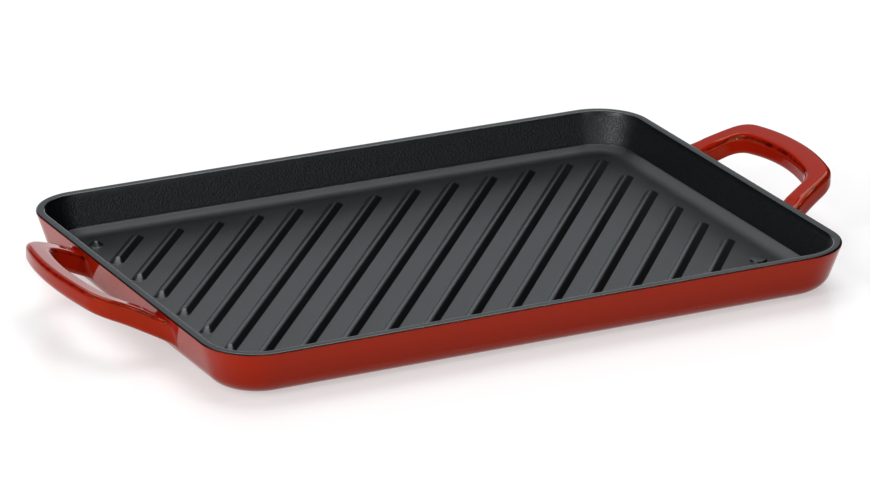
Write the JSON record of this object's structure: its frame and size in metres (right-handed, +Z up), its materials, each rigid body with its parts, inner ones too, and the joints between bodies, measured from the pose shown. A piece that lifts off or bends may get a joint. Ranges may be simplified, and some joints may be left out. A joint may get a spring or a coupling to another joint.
{
  "type": "grill plate",
  "caption": "Rectangular cast-iron grill plate with diagonal ribs, a splayed loop handle at each end, dark enamel inside and red enamel outside.",
  "frame": {"origin": "middle of the underside, on the surface that the plate stands on", "axes": "+X along the plate from handle to handle, +Y across it, +Z up"},
  "size_m": [0.395, 0.23, 0.0333],
  "materials": {
    "dark_enamel": "satin dark enamel",
    "red_enamel": "gloss red enamel",
    "red_coat": "gloss"
  },
  "bodies": {
    "root": {"tray_casting": "dark_enamel", "exterior_enamel": "red_coat", "corner_button": "dark_enamel", "handle_left": "red_enamel", "handle_right": "red_enamel", "rib_01": "dark_enamel", "rib_02": "dark_enamel", "rib_03": "dark_enamel", "rib_04": "dark_enamel", "rib_05": "dark_enamel", "rib_06": "dark_enamel", "rib_07": "dark_enamel", "rib_08": "dark_enamel", "rib_09": "dark_enamel", "rib_10": "dark_enamel", "rib_11": "dark_enamel", "rib_12": "dark_enamel", "rib_13": "dark_enamel", "rib_14": "dark_enamel", "rib_15": "dark_enamel", "rib_16": "dark_enamel", "rib_17": "dark_enamel", "rib_18": "dark_enamel", "rib_19": "dark_enamel"}
  },
  "joints": []
}
